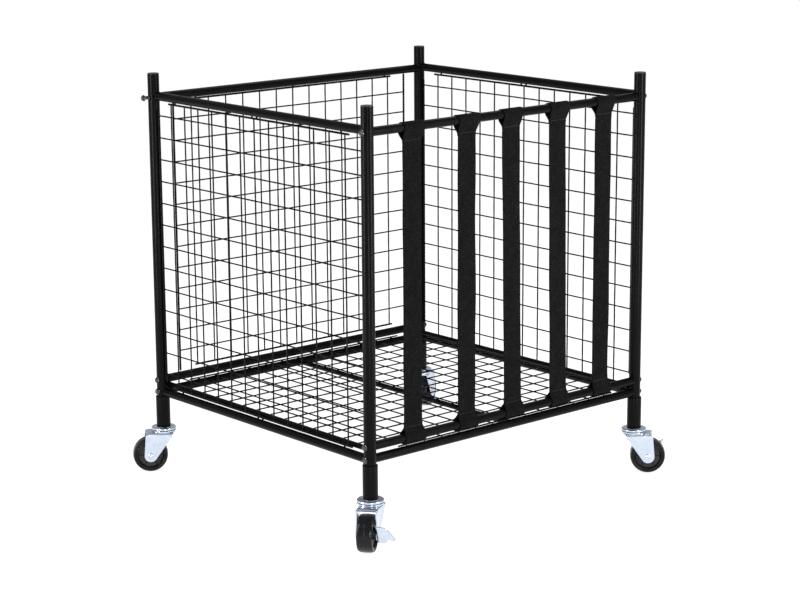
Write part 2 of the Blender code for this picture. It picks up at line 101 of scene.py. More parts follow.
# Casters, in their own space: X towards the trailing wheel, Y to its left, Z up from the floor.
WHEEL_RADIUS = 30 * MM
TREAD_HALF = 12.5 * MM
DISC_DEPTH = 4.2 * MM
BALL_PATH = 16.6 * MM
BALL_HEIGHT = 73.6 * MM
BALL_RADIUS = 1.8 * MM
FORK_HALF = 17 * MM
FORK_SHEET = 2.3 * MM
FORK_TOP = 70 * MM
FORK_BEND = 4 * MM
FORK_EYE = 11 * MM
FORK_TRAIL = 24 * MM
FRONT_TANGENT = math.radians(214)
BACK_TANGENT = math.radians(8)
FORK_CROWN = 19.5 * MM
FORK_FRONT = -14.5 * MM
FORK_BACK = 32 * MM
FORK_CREASE = 14 * MM
FORK_LIP = 4 * MM
FORK_LEAN = 0.14
LEVER_SHEET = 1.5 * MM
LEVER_BEND = 2.2 * MM
LEVER_FOLD_LOW = Vector((9, -8)) * MM
LEVER_FOLD_HIGH = Vector((26, 21)) * MM
LEVER_HUB = 9 * MM


def middle_of(node):
    low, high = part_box(node)
    return (low + high) / 2


def in_metres(corners):
    return [tuple(value * MM for value in corner) for corner in corners]


# Shapes.


def eased(corners, closed=False, steps=4):
    """The path through (x, y, rounding) corners, each rounded by a short curve."""
    points = []
    last = len(corners) - 1
    for i, corner in enumerate(corners):
        here, rounding = Vector(corner[:2]), corner[2] if len(corner) > 2 else 0
        if not rounding or (not closed and i in (0, last)):
            points.append(here)
            continue
        before = Vector(corners[i - 1][:2]) - here
        after = Vector(corners[(i + 1) % len(corners)][:2]) - here
        start = here + before.normalized() * min(rounding, before.length * 0.48)
        end = here + after.normalized() * min(rounding, after.length * 0.48)
        for step in range(steps + 1):
            t = step / steps
            points.append(start * (1 - t) ** 2 + here * (2 * t * (1 - t)) + end * t * t)
    return points


def finished(name, shell, sharp=35):
    """The mesh of a bmesh, smooth but for edges sharper than so many degrees."""
    bmesh.ops.remove_doubles(shell, verts=shell.verts, dist=0.00001 * MM)
    bmesh.ops.recalc_face_normals(shell, faces=shell.faces)
    mesh = bpy.data.meshes.new(name)
    shell.to_mesh(mesh)
    shell.free()
    mesh.shade_smooth()
    mesh.set_sharp_from_angle(angle=math.radians(sharp))
    return mesh


def turned(name, corners, sides=48, closed=False, sharp=35):
    """A mesh turned about Z from (radius, height, rounding) corners."""
    shell = bmesh.new()
    points = [shell.verts.new((point.x, 0, point.y)) for point in eased(corners, closed)]
    pairs = list(zip(points, points[1:]))
    if closed:
        pairs.append((points[-1], points[0]))
    edges = [shell.edges.new(pair) for pair in pairs]
    bmesh.ops.spin(
        shell,
        geom=points + edges,
        axis=(0, 0, 1),
        angle=math.tau,
        steps=sides,
        use_merge=True,
    )
    return finished(name, shell, sharp)


def grid(name, rows, thickness=0, offset=0):
    """A sheet through rows of points."""
    mesh = bpy.data.meshes.new(name)
    width = len(rows[0])
    points = [point for row in rows for point in row]
    faces = []
    for r in range(len(rows) - 1):
        for c in range(width - 1):
            corner = r * width + c
            faces.append((corner, corner + 1, corner + width + 1, corner + width))
    mesh.from_pydata(points, [], faces)
    mesh.shade_smooth()
    obj = bpy.data.objects.new(name, mesh)
    bpy.context.scene.collection.objects.link(obj)
    if thickness:
        solid = obj.modifiers.new("thickness", "SOLIDIFY")
        solid.thickness = thickness
        solid.offset = offset
    return obj


def object_of(mesh, place=Matrix.Identity(4)):
    obj = bpy.data.objects.new(mesh.name, mesh)
    bpy.context.scene.collection.objects.link(obj)
    obj.matrix_world = place
    return obj


def bevelled(obj, width, angle=40, segments=2):
    bevel = obj.modifiers.new("edges", "BEVEL")
    bevel.width = width
    bevel.segments = segments
    bevel.limit_method = "ANGLE"
    bevel.angle_limit = math.radians(angle)
    return obj


def wires(name, lines, radius, closed=False, resolution=3):
    """One curve object of round wires. A line is a list of (point, radius factor)."""
    curve = bpy.data.curves.new(name, "CURVE")
    curve.dimensions = "3D"
    curve.bevel_depth = radius
    curve.bevel_resolution = resolution
    curve.use_fill_caps = True
    for line in lines:
        spline = curve.splines.new("POLY")
        spline.points.add(len(line) - 1)
        for point, (spot, factor) in zip(spline.points, line):
            point.co = (*spot, 1)
            point.radius = factor
        spline.use_cyclic_u = closed
        spline.use_smooth = True
    obj = bpy.data.objects.new(name, curve)
    bpy.context.scene.collection.objects.link(obj)
    return obj


def aimed(start, direction):
    """A place at start whose Z points along direction."""
    turn = Vector(direction).to_track_quat("Z", "Y").to_matrix().to_4x4()
    return Matrix.Translation(start) @ turn


def finish_piece(obj, body, material, slot, *nodes):
    """Gives a piece its material, and lets it ride on body in place of CAD nodes. The slot is not
    used.
    """
    obj.data.materials.clear()
    obj.data.materials.append(material)
    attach(obj, body)
    if nodes:
        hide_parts(*nodes)
    return obj


# Materials.


def add_node(tree, kind, inputs=(), **settings):
    """A new node with its settings, and its inputs set or linked by name or number."""
    node = tree.nodes.new(kind)
    for name, value in settings.items():
        setattr(node, name, value)
    for key, value in dict(inputs).items():
        if isinstance(value, bpy.types.NodeSocket):
            tree.links.new(value, node.inputs[key])
        else:
            node.inputs[key].default_value = value
    return node


def noise(tree, where, scale, detail=3, roughness=0.55):
    inputs = {"Vector": where, "Scale": scale, "Detail": detail, "Roughness": roughness}
    return add_node(tree, "ShaderNodeTexNoise", inputs).outputs["Fac"]


def between(tree, value, low, high, start=0.35, end=0.65):
    """Value spread from low to high as it goes from start to end."""
    inputs = {"Value": value, "From Min": start, "From Max": end, "To Min": low, "To Max": high}
    return add_node(tree, "ShaderNodeMapRange", inputs).outputs["Result"]


def blend_colors(tree, factor, first, second):
    node = add_node(tree, "ShaderNodeMix", data_type="RGBA")
    tree.links.new(factor, node.inputs["Factor"])
    for socket, value in (("A", first), ("B", second)):
        target = next(s for s in node.inputs if s.name == socket and s.type == "RGBA")
        if isinstance(value, bpy.types.NodeSocket):
            tree.links.new(value, target)
        else:
            target.default_value = (*value, 1)
    return next(s for s in node.outputs if s.type == "RGBA")


def math_node(tree, operation, first, second=0.0):
    node = add_node(tree, "ShaderNodeMath", {0: first, 1: second}, operation=operation)
    return node.outputs[0]


def bumped(tree, height, distance, strength=1.0, normal=None):
    inputs = {"Height": height, "Distance": distance, "Strength": strength}
    if normal:
        inputs["Normal"] = normal
    return add_node(tree, "ShaderNodeBump", inputs).outputs["Normal"]


def new_material(name, metallic=0.0, specular=0.5):
    """A material with its tree, its shader and the object's own coordinates."""
    material = bpy.data.materials.new(name)
    material.use_nodes = True
    tree = material.node_tree
    shader = tree.nodes["Principled BSDF"]
    shader.inputs["Metallic"].default_value = metallic
    shader.inputs["Specular IOR Level"].default_value = specular
    where = tree.nodes.new("ShaderNodeTexCoord").outputs["Object"]
    return material, tree, shader, where


def link(tree, shader, **outputs):
    for name, output in outputs.items():
        tree.links.new(output, shader.inputs[name.replace("_", " ")])


def powder_coat():
    """Semi-gloss black powder coat: fine orange peel, uneven gloss and a few light scuffs."""
    material, tree, shader, where = new_material("powder_coat", specular=0.07)
    cloud = between(tree, noise(tree, where, 26, 4), 0, 1)
    base = blend_colors(tree, cloud, (0.0010, 0.0010, 0.0011), (0.0020, 0.0020, 0.0022))
    scuffs = between(tree, noise(tree, where, 330, 5, 0.75), 0, 1, 0.70, 0.76)
    color = blend_colors(tree, scuffs, base, (0.012, 0.012, 0.0125))
    roughness = between(tree, noise(tree, where, 70, 4), 0.24, 0.34)
    peel = bumped(tree, noise(tree, where, 520, 2), 0.02 * MM, 0.5)
    grain = bumped(tree, noise(tree, where, 2600, 2), 0.005 * MM, 0.5, peel)
    link(tree, shader, Base_Color=color, Roughness=roughness, Normal=grain)
    return material


def black_steel():
    """Black plated bolts: satin metal with worn, brighter spots. On the caster balls this dark
    finish is painted shade for the gap between the races.
    """
    material, tree, shader, where = new_material("black_steel", 0.85, 0.5)
    wear = between(tree, noise(tree, where, 700, 4), 0, 1, 0.52, 0.66)
    color = blend_colors(tree, wear, (0.03, 0.03, 0.032), (0.3, 0.3, 0.31))
    roughness = between(tree, noise(tree, where, 420, 3), 0.16, 0.3)
    normal = bumped(tree, noise(tree, where, 2200, 2), 0.02 * MM, 0.6)
    link(tree, shader, Base_Color=color, Roughness=roughness, Normal=normal)
    return material


def cap_plastic():
    """The moulded end plugs of the posts."""
    material, tree, shader, where = new_material("cap_plastic", specular=0.35)
    color = blend_colors(
        tree,
        between(tree, noise(tree, where, 300, 4), 0, 1),
        (0.003, 0.003, 0.0035),
        (0.006, 0.006, 0.0065),
    )
    roughness = between(tree, noise(tree, where, 500, 3), 0.3, 0.48)
    normal = bumped(tree, noise(tree, where, 3000, 2), 0.015 * MM, 0.7)
    link(tree, shader, Base_Color=color, Roughness=roughness, Normal=normal)
    return material


def zinc():
    """Bright zinc plate: bluish crystals, cloudy patches and faint draw lines."""
    material, tree, shader, where = new_material("zinc_plate", 1.0, 0.5)
    crystals = add_node(tree, "ShaderNodeTexVoronoi", {"Vector": where, "Scale": 420})
    patches = between(tree, noise(tree, where, 110, 4), 0, 1)
    cold = blend_colors(tree, patches, (0.51, 0.58, 0.69), (0.60, 0.65, 0.72))
    spangle = between(tree, crystals.outputs["Distance"], 0, 0.35, 0.0, 1.0)
    color = blend_colors(tree, spangle, cold, (0.48, 0.54, 0.66))
    roughness = between(tree, noise(tree, where, 260, 4), 0.16, 0.3)
    stretched = add_node(tree, "ShaderNodeMapping", {"Vector": where, "Scale": (1, 1, 0.08)})
    lines = bumped(tree, noise(tree, stretched.outputs[0], 1500, 2), 0.01 * MM, 0.5)
    normal = bumped(tree, noise(tree, where, 240, 3), 0.025 * MM, 0.5, lines)
    link(tree, shader, Base_Color=color, Roughness=roughness, Normal=normal)
    return material


def wheel_plastic(name, dark, light, rough):
    """Moulded plastic, a little scuffed where it rolls."""
    material, tree, shader, where = new_material(name, specular=0.22)
    cloud = between(tree, noise(tree, where, 90, 5), 0, 1)
    color = blend_colors(tree, cloud, dark, light)
    dust = between(tree, noise(tree, where, 900, 4, 0.7), 0, 0.35, 0.6, 0.72)
    dusty = blend_colors(tree, dust, color, tuple(4 * c + 0.01 for c in light))
    roughness = between(tree, noise(tree, where, 150, 4), rough - 0.08, rough + 0.1)
    normal = bumped(tree, noise(tree, where, 800, 3), 0.015 * MM, 0.5)
    link(tree, shader, Base_Color=dusty, Roughness=roughness, Normal=normal)
    return material


def webbing():
    """Woven elastic: fine ribs along the strap, cross picks, and pale flecks in the yarn."""
    material, tree, shader, where = new_material("elastic_webbing", specular=0.05)
    way = add_node(tree, "ShaderNodeAttribute", attribute_name="way").outputs["Vector"]
    split = add_node(tree, "ShaderNodeSeparateXYZ", {0: way})
    across, along = split.outputs[0], split.outputs[1]
    rib = math_node(tree, "SINE", math_node(tree, "MULTIPLY", across, math.tau / (1.25 * MM)))
    pick = math_node(tree, "SINE", math_node(tree, "MULTIPLY", along, math.tau / (0.95 * MM)))
    weave = math_node(tree, "ADD", rib, math_node(tree, "MULTIPLY", pick, rib))
    fuzz = noise(tree, where, 1500, 4, 0.7)
    height = math_node(tree, "ADD", math_node(tree, "MULTIPLY", weave, 0.35), fuzz)
    cloud = between(tree, noise(tree, where, 60, 3), 0, 1)
    base = blend_colors(tree, cloud, (0.0024, 0.0024, 0.0026), (0.0042, 0.0042, 0.0045))
    flecks = between(tree, noise(tree, where, 620, 3, 0.8), 0, 0.8, 0.56, 0.74)
    color = blend_colors(tree, flecks, base, (0.034, 0.034, 0.036))
    roughness = between(tree, fuzz, 0.8, 0.95)
    shader.inputs["Sheen Weight"].default_value = 0.008
    shader.inputs["Sheen Roughness"].default_value = 0.4
    normal = bumped(tree, height, 0.16 * MM, 0.8)
    link(tree, shader, Base_Color=color, Roughness=roughness, Normal=normal)
    return material


def thread():
    """Sewing thread, a little glossier than the webbing."""
    material, tree, shader, where = new_material("thread", specular=0.3)
    twist = noise(tree, where, 2800, 2)
    tone = between(tree, twist, 0, 1)
    color = blend_colors(tree, tone, (0.012, 0.012, 0.013), (0.04, 0.04, 0.042))
    normal = bumped(tree, twist, 0.05 * MM, 0.8)
    roughness = between(tree, twist, 0.5, 0.7)
    link(tree, shader, Base_Color=color, Roughness=roughness, Normal=normal)
    return material


def floor_white():
    """Plain pale floor that glows a little, so that only contact shadows show on it."""
    material, tree, shader, where = new_material("floor", specular=0.0)
    tone = between(tree, noise(tree, where, 3, 2), 0, 1)
    color = blend_colors(tree, tone, (0.44, 0.44, 0.44), (0.46, 0.46, 0.46))
    link(tree, shader, Base_Color=color)
    shader.inputs["Roughness"].default_value = 0.9
    shader.inputs["Emission Color"].default_value = (1, 1, 1, 1)
    shader.inputs["Emission Strength"].default_value = 0.8
    return material


# Stage.


def add_camera():
    data = bpy.data.cameras.new("camera")
    data.lens = CAMERA_LENS
    data.sensor_width = 36
    data.clip_start = 0.05
    data.clip_end = 100
    camera = bpy.data.objects.new("camera", data)
    bpy.context.scene.collection.objects.link(camera)
    flat = Vector((math.cos(CAMERA_YAW), math.sin(CAMERA_YAW), 0))
    forward = flat * math.cos(CAMERA_PITCH) - Vector((0, 0, math.sin(CAMERA_PITCH)))
    right = Vector((math.sin(CAMERA_YAW), -math.cos(CAMERA_YAW), 0))
    up = right.cross(forward)
    across = right * math.cos(CAMERA_ROLL) + up * math.sin(CAMERA_ROLL)
    above = up * math.cos(CAMERA_ROLL) - right * math.sin(CAMERA_ROLL)
    turn = Matrix((across, above, -forward)).transposed().to_4x4()
    camera.matrix_world = Matrix.Translation(MIDDLE + CAMERA_SPOT) @ turn
    bpy.context.scene.camera = camera


def add_light(name, turn, distance, height, size, power):
    """A soft box that faces the cart, turned by so many degrees from the camera's side."""
    data = bpy.data.lights.new(name, "AREA")
    data.shape = "RECTANGLE"
    data.size, data.size_y = size
    data.energy = power
    light = bpy.data.objects.new(name, data)
    bpy.context.scene.collection.objects.link(light)
    angle = CAMERA_YAW + math.pi + math.radians(turn)
    spot = MIDDLE + Vector((math.cos(angle) * distance, math.sin(angle) * distance, height))
    target = MIDDLE + Vector((0, 0, LIGHT_TARGET))
    light.matrix_world = aimed(spot, spot - target)
    light.visible_camera = False


def add_stage():
    world = bpy.data.worlds.new("studio")
    world.use_nodes = True
    background = world.node_tree.nodes["Background"]
    background.inputs["Color"].default_value = (0.97, 0.98, 1.0, 1)
    background.inputs["Strength"].default_value = 0.5
    bpy.context.scene.world = world
    bpy.context.scene.view_settings.view_transform = "Standard"
    shell = bmesh.new()
    bmesh.ops.create_grid(shell, x_segments=8, y_segments=8, size=25)
    floor = object_of(finished("studio_floor", shell), Matrix.Translation((0, 0, -0.2 * MM)))
    floor.data.materials.append(floor_white())
    add_light("left_strip", -57, 1.5, 0.75, (0.16, 1.5), 22)
    add_light("right_strip", 55, 1.5, 0.75, (0.16, 1.5), 22)
    add_light("front_strip", 6, 1.6, 0.32, (0.12, 0.6), 5)
    add_light("top_soft", 160, 1.2, 2.2, (1.2, 1.2), 7)


# Frame.


def add_posts():
    for corner in CORNERS:
        low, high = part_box("post_" + corner)
        spot = middle_of("post_" + corner)
        spot.z = 0
        radius = (high.x - low.x) / 2
        top = high.z - CAP_FLANGE
        bore = radius - TUBE_WALL
        wall = [(radius, top, 0.4 * MM), (radius, low.z, 0.3 * MM), (bore, low.z), (bore, top)]
        post = object_of(turned("upright_" + corner, wall, closed=True), Matrix.Translation(spot))
        finish_piece(post, "frame", PAINT, "powder_coat", "post_" + corner)
        flange = radius - 0.1 * MM
        plug = [
            (0, high.z),
            (flange - 3 * MM, high.z, 1 * MM),
            (flange, high.z - 0.35 * MM, 0.9 * MM),
            (flange, top + 0.25 * MM, 0.3 * MM),
            (bore, top + 0.25 * MM),
            (bore, top - CAP_PLUG),
            (0, top - CAP_PLUG),
        ]
        cap = object_of(turned("cap_" + corner, plug), Matrix.Translation(spot))
        finish_piece(cap, "frame", CAP, "powder_coat")


def add_sleeves():
    for corner in CORNERS:
        low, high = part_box("leg_" + corner)
        spot = middle_of("leg_" + corner)
        spot.z = 0
        radius = (high.x - low.x) / 2
        bore = radius - TUBE_WALL + 0.1 * MM
        wall = [
            (radius, high.z, 0.6 * MM),
            (radius, low.z, 0.5 * MM),
            (bore - 2.5 * MM, low.z, 0.3 * MM),
            (bore - 2.5 * MM, low.z + 4 * MM),
            (bore, low.z + 6 * MM),
            (bore, high.z, 0.3 * MM),
        ]
        sleeve = object_of(turned("sleeve_" + corner, wall, closed=True), Matrix.Translation(spot))
        finish_piece(sleeve, "frame", PAINT, "powder_coat", "leg_" + corner)


def add_tube(name, node, axis, overlap):
    """A smooth tube along X or Y through a CAD rail, running into what it meets by overlap."""
    low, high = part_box(node)
    radius = (high.z - low.z) / 2
    length = (high - low)[axis] / 2 + overlap
    wall = [
        (radius, length),
        (radius, -length),
        (radius - TUBE_WALL, -length),
        (radius - TUBE_WALL, length),
    ]
    direction = [0, 0, 0]
    direction[axis] = 1
    place = aimed(middle_of(node), direction)
    tube = object_of(turned(name, wall, 32, closed=True), place)
    return finish_piece(tube, "frame", PAINT, "powder_coat", node)


def add_rails():
    for level in ("top", "low", "base"):
        for end in ("front", "rear"):
            add_tube(f"cross_tube_{level}_{end}", f"rail_{level}_{end}", 0, RAIL_OVERLAP)
    for level in ("top", "base"):
        for side in ("left", "right"):
            add_tube(f"side_tube_{level}_{side}", f"rail_{level}_{side}", 1, RAIL_OVERLAP)
    for side in ("left", "right"):
        add_tube(f"floor_rail_{side}", f"floor_tube_{side}", 1, RAIL_OVERLAP)
    add_tube("floor_stay", "floor_brace", 1, RAIL_OVERLAP)


def weld_line(rail, post, facing, lumps):
    """The seam where a rail along Y meets a round post, with its ripples."""
    low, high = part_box(rail)
    radius = (high.z - low.z) / 2
    post_low, post_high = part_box(post)
    post_radius = (post_high.x - post_low.x) / 2
    spot = middle_of(post)
    line = []
    steps = 72
    for step in range(steps):
        angle = math.tau * step / steps
        aside = radius * math.sin(angle)
        reach = math.sqrt(post_radius**2 - aside**2)
        point = (
            spot.x + (radius + 0.3 * MM) * math.sin(angle),
            spot.y + facing * (reach + 0.3 * MM),
            middle_of(rail).z + (radius + 0.3 * MM) * math.cos(angle),
        )
        ripple = 1 + 0.16 * math.sin(angle * 17) + lumps.uniform(-0.07, 0.07)
        line.append((point, ripple))
    return line


def add_welds():
    lumps = random.Random(5)
    lines = []
    for side in ("left", "right"):
        for level in ("top", "base"):
            for end, facing in (("front", 1), ("rear", -1)):
                rail, post = f"rail_{level}_{side}", f"post_{end}_{side}"
                lines.append(weld_line(rail, post, facing, lumps))
    welds = wires("corner_welds", lines, WELD_RADIUS, closed=True)
    finish_piece(welds, "frame", PAINT, "powder_coat")


def bolt_meshes():
    """A flange with its neck, and the hexagonal head on it, both along Z from the post."""
    neck = [
        (0, 1.2 * MM),
        (BOLT_HEX, 1.2 * MM),
        (5.3 * MM, BOLT_FLANGE, 0.3 * MM),
        (5.3 * MM, 0, 0.2 * MM),
        (3 * MM, 0),
    ]
    turns = 12
    for turn in range(turns):
        depth = -turn * THREAD_PITCH
        neck += [(3 * MM, depth - 0.1 * MM), (2.55 * MM, depth - 0.5 * MM)]
    neck.append((0, -turns * THREAD_PITCH))
    flange = turned("bolt_neck", neck, 32)
    shell = bmesh.new()
    bmesh.ops.create_cone(
        shell,
        cap_ends=True,
        segments=6,
        radius1=BOLT_HEX,
        radius2=BOLT_HEX,
        depth=BOLT_HEAD - BOLT_FLANGE,
        matrix=Matrix.Translation((0, 0, (BOLT_HEAD + BOLT_FLANGE) / 2)),
    )
    top = [face for face in shell.faces if face.normal.z > 0.9]
    bmesh.ops.inset_region(shell, faces=top, thickness=0.7 * MM, depth=0.35 * MM)
    bmesh.ops.inset_region(shell, faces=top, thickness=1.6 * MM, depth=-0.3 * MM)
    return flange, finished("bolt_hex", shell, 30)


def add_bolts():
    flange, head = bolt_meshes()
    turns = random.Random(8)
    for corner in CORNERS:
        side = -1 if corner.endswith("left") else 1
        for level in ("top", "low", "base"):
            node = f"bolt_{level}_{corner}"
            low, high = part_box(node)
            seat = middle_of(node)
            seat.x = low.x + BOLT_HEAD if side < 0 else high.x - BOLT_HEAD
            twist = Matrix.Rotation(turns.uniform(0, math.tau), 4, "Z")
            place = aimed(seat, (side, 0, 0)) @ twist
            neck = object_of(flange.copy(), place)
            neck.name = f"flange_{level}_{corner}"
            finish_piece(neck, "frame", STEEL_AND_GAP_SHADE, "black_bolt", node)
            hexagon = bevelled(object_of(head.copy(), place), 0.25 * MM, 30)
            hexagon.name = f"hex_{level}_{corner}"
            finish_piece(hexagon, "frame", STEEL_AND_GAP_SHADE, "black_bolt")


# Wire mesh.


def spread(low, high, count):
    return [low + (high - low) * i / (count - 1) for i in range(count)]


def centred(pitch, count=SIDE_UPRIGHTS):
    half = pitch * (count - 1) / 2
    return spread(-half, half, count)


def wire_line(fixed, stations, layer, along_y, shake):
    """One thin wire with a slight bow, thicker where it is fused to a crossing wire."""
    bow = shake.uniform(-WIRE_BOW, WIRE_BOW)
    start, end = stations[0], stations[-1]
    line = []
    for number, station in enumerate(stations):
        share = (station - start) / (end - start)
        aside = fixed + bow * math.sin(math.pi * share) + shake.uniform(-WIRE_JITTER, WIRE_JITTER)
        lift = layer + shake.uniform(-WIRE_JITTER, WIRE_JITTER) / 2
        point = (aside, station, lift) if along_y else (station, aside, lift)
        line.append((point, 1.1 if number % 2 and number < len(stations) - 1 else 1))
    return line


def stations_of(start, end, crossings):
    """The ends, the crossings and the places halfway between, in order."""
    marks = [start, *crossings, end]
    found = [start]
    for before, after in zip(marks, marks[1:]):
        found += [(before + after) / 2, after]
    return found


def rod_line(first, second, radius):
    """A thick edge rod with softly rounded ends."""
    first, second = Vector(first), Vector(second)
    way = (second - first).normalized() * radius
    factor = radius / WIRE_RADIUS
    ends = [(first, 0.55 * factor), (first + way * 0.3, 0.86 * factor), (first + way * 0.8, factor)]
    middle = [((first + second) / 2, factor)]
    tail = [(second - way * 0.8, factor), (second - way * 0.3, 0.86 * factor)]
    return ends + middle + tail + [(second, 0.55 * factor)]


def wire_panel(
    name, place, uprights, edge_y, edge_half, crosses, side_x, side_span, seed, rod=ROD_RADIUS
):
    """A welded panel in its own XY plane: wires along Y behind wires along X, in a rod edge."""
    shake = random.Random(seed)
    lines = [rod_line((-edge_half, y, 0), (edge_half, y, 0), rod) for y in edge_y]
    lines += [rod_line((x, side_span[0], 0), (x, side_span[1], 0), rod) for x in (-side_x, side_x)]
    for x in uprights:
        stations = stations_of(edge_y[0], edge_y[1], crosses)
        lines.append(wire_line(x, stations, -WIRE_LAYER, True, shake))
    for y in crosses:
        stations = stations_of(-side_x, side_x, uprights)
        lines.append(wire_line(y, stations, WIRE_LAYER, False, shake))
    panel = wires(name, lines, WIRE_RADIUS, resolution=2)
    panel.matrix_world = place
    return panel


def add_side_panels():
    for seed, side in enumerate(("left", "right")):
        node = "mesh_" + side
        low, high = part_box(node)
        spot = middle_of(node)
        spot.z = 0
        turn = Matrix.Rotation(math.pi / 2 if side == "left" else -math.pi / 2, 4, "Z")
        place = Matrix.Translation(spot) @ turn @ Matrix.Rotation(math.pi / 2, 4, "X")
        panel = wire_panel(
            "wire_panel_" + side,
            place,
            centred(SIDE_UPRIGHT_PITCH),
            (low.z + ROD_RADIUS, high.z - ROD_RADIUS),
            SIDE_EDGE_HALF,
            spread(*SIDE_CROSS_SPAN, SIDE_UPRIGHTS),
            (high.y - low.y) / 2 - ROD_RADIUS,
            SIDE_ROD_SPAN,
            seed,
        )
        finish_piece(panel, "frame", PAINT, "powder_coat", node)


def add_rear_panel():
    low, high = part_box("mesh_rear")
    spot = middle_of("mesh_rear")
    spot.z = 0
    panel = wire_panel(
        "wire_panel_rear",
        Matrix.Translation(spot) @ Matrix.Rotation(math.pi / 2, 4, "X"),
        centred(REAR_UPRIGHT_PITCH),
        REAR_EDGE_SPAN,
        REAR_EDGE_HALF,
        spread(*REAR_CROSS_SPAN, REAR_CROSSES),
        (high.x - low.x) / 2 - ROD_RADIUS,
        (low.z, high.z),
        7,
    )
    finish_piece(panel, "frame", PAINT, "powder_coat", "mesh_rear")


def add_floor_panel():
    low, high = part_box("mesh_floor")
    panel = wire_panel(
        "wire_panel_floor",
        Matrix.Translation(middle_of("mesh_floor")),
        centred(FLOOR_LONG_PITCH),
        ((low.y - high.y) / 2 + ROD_RADIUS, (high.y - low.y) / 2 - ROD_RADIUS),
        FLOOR_EDGE_HALF_X,
        centred(FLOOR_CROSS_PITCH),
        (high.x - low.x) / 2 - ROD_RADIUS,
        (-FLOOR_EDGE_HALF_Y, FLOOR_EDGE_HALF_Y),
        9,
        FLOOR_ROD_RADIUS,
    )
    finish_piece(panel, "frame", PAINT, "powder_coat", "mesh_floor")


def tack(first, second):
    """A short weld bead between two points."""
    first, second = Vector(first), Vector(second)
    shares = (0, 0.12, 0.5, 0.88, 1)
    factors = (0.45, 0.95, 1.08, 0.95, 0.45)
    return [(first.lerp(second, share), factor) for share, factor in zip(shares, factors)]


def add_tacks():
    """Stubs that hold the panels' edge rods to the rails and posts."""
    lines = []
    for side in ("left", "right"):
        low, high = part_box("mesh_" + side)
        rail_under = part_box("rail_top_" + side)[0].z
        base_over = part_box("rail_base_" + side)[1].z
        x, y = middle_of("mesh_" + side).xy
        for reach in (-214, -6, 6, 214):
            spot = y + reach * MM
            lines.append(tack((x, spot, high.z - 3 * MM), (x, spot, rail_under + 1.5 * MM)))
            lines.append(tack((x, spot, low.z + 1 * MM), (x, spot, base_over - 1 * MM)))
    panel_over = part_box("mesh_rear")[1].z
    rail_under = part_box("rail_top_rear")[0].z
    x, y = middle_of("mesh_rear").xy
    for reach in (-210, 0, 210):
        spot = x + reach * MM
        lines.append(tack((spot, y, panel_over - 3 * MM), (spot, y, rail_under + 1.5 * MM)))
    welds = wires("panel_tacks", lines, 1.5 * MM)
    finish_piece(welds, "frame", PAINT, "powder_coat")


# Straps.


def strap_loop(radius, pinch, reach):
    """Over a rail at the origin, from the back pinch point below it to the front one."""
    start = math.atan2(-reach, pinch) + math.acos(radius / math.hypot(pinch, reach))
    steps = 26
    angles = [start + (math.pi - 2 * start) * i / steps for i in range(steps + 1)]
    return [Vector((radius * math.cos(angle), radius * math.sin(angle))) for angle in angles]


def along_line(start, end, pitch):
    """Points from start to end about pitch apart, without the end."""
    count = max(2, round((end - start).length / pitch))
    return [start.lerp(end, i / count) for i in range(count)]


def strap_path(top, low):
    """The strap edge on, as (depth, height): tail, top loop, web, low loop, tail."""
    pinch = STRAP_THICKNESS * 0.53
    loop = strap_loop(STRAP_LOOP, pinch, STRAP_TOP_STITCH)
    drop = Vector((0, top))
    tail_end = Vector((pinch, -STRAP_TOP_STITCH - STRAP_TAIL))
    seam = Vector((pinch, -STRAP_TOP_STITCH))
    path = along_line(tail_end, seam, MM) + along_line(seam, loop[0], 1.5 * MM)
    path += loop
    path += along_line(loop[-1], Vector((-pinch, -STRAP_TOP_STITCH)), 1.5 * MM)[1:]
    path = [point + drop for point in path]
    top_end, low_end = top - STRAP_TOP_STITCH, low + STRAP_LOW_STITCH
    web = [Vector((-pinch, top_end))]
    web += along_line(Vector((-pinch, top_end - MM)), Vector((0, top_end - STRAP_EASE)), 1.5 * MM)
    web += along_line(Vector((0, top_end - STRAP_EASE)), Vector((0, low_end + STRAP_EASE)), 6 * MM)
    web += along_line(Vector((0, low_end + STRAP_EASE)), Vector((-pinch, low_end + MM)), 1.5 * MM)
    loop = [-point for point in strap_loop(STRAP_LOOP, pinch, STRAP_LOW_STITCH)]
    rise = Vector((0, low))
    base = along_line(Vector((-pinch, STRAP_LOW_STITCH)), loop[0], 1.5 * MM) + loop
    base += along_line(loop[-1], Vector((pinch, STRAP_LOW_STITCH)), 1.5 * MM)[1:]
    end = Vector((pinch, STRAP_LOW_STITCH + STRAP_TAIL))
    base += along_line(Vector((pinch, STRAP_LOW_STITCH)), end, MM) + [end]
    return path + web + [point + rise for point in base]


def smooth(value):
    value = min(1, max(0, value))
    return value * value * (3 - 2 * value)


def loop_flare(share, side, crest):
    """Extra half width from the stitch (0) to the far side of the rail (1)."""
    fall = smooth((share - 0.55) / 0.45)
    return side * smooth(share / 0.4) * (1 - fall) + crest * fall


def strap_half(point, top, low, flares):
    """Half the strap's width at (depth, height). Each loop flares its own way round its rail."""
    ends = ((0, STRAP_TOP_STITCH, point.y - top), (1, STRAP_LOW_STITCH, low - point.y))
    for end, edge, height in ends:
        share = (height + edge) / (edge + STRAP_LOOP)
        if share > 0:
            side = flares[end]["back" if point.x > 0 else "front"]
            return STRAP_HALF + loop_flare(share, side, flares[end]["crest"])
    return STRAP_HALF


